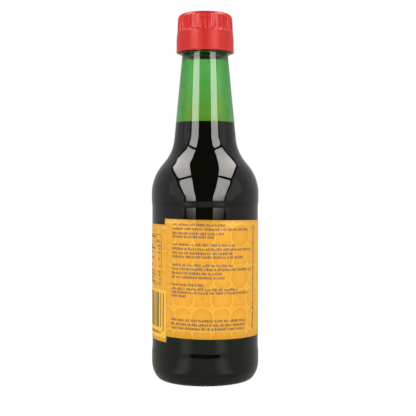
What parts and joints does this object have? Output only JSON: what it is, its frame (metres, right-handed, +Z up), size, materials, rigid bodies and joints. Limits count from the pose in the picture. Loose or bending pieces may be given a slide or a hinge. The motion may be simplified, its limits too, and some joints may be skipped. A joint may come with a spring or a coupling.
{
  "type": "soy sauce bottle",
  "caption": "Tall round bottle of clear green glass filled with dark soy sauce, with a ribbed red screw cap and an orange paper label wrapped round the body.",
  "frame": {"origin": "middle of the base, on the plane that the bottle stands on", "axes": "+Z up along the bottle's axis to the cap; the side with the lines of text looks along -Y, and the label's seam is 45 degrees round from it towards -X"},
  "size_m": [0.058, 0.058, 0.1968],
  "materials": {
    "green_glass": "gloss",
    "soy_sauce": "gloss",
    "label_paper": "satin",
    "cap_plastic": "satin"
  },
  "bodies": {
    "root": {"glass": "green_glass", "sauce": "soy_sauce", "label": "label_paper", "cap": "cap_plastic"}
  },
  "joints": []
}
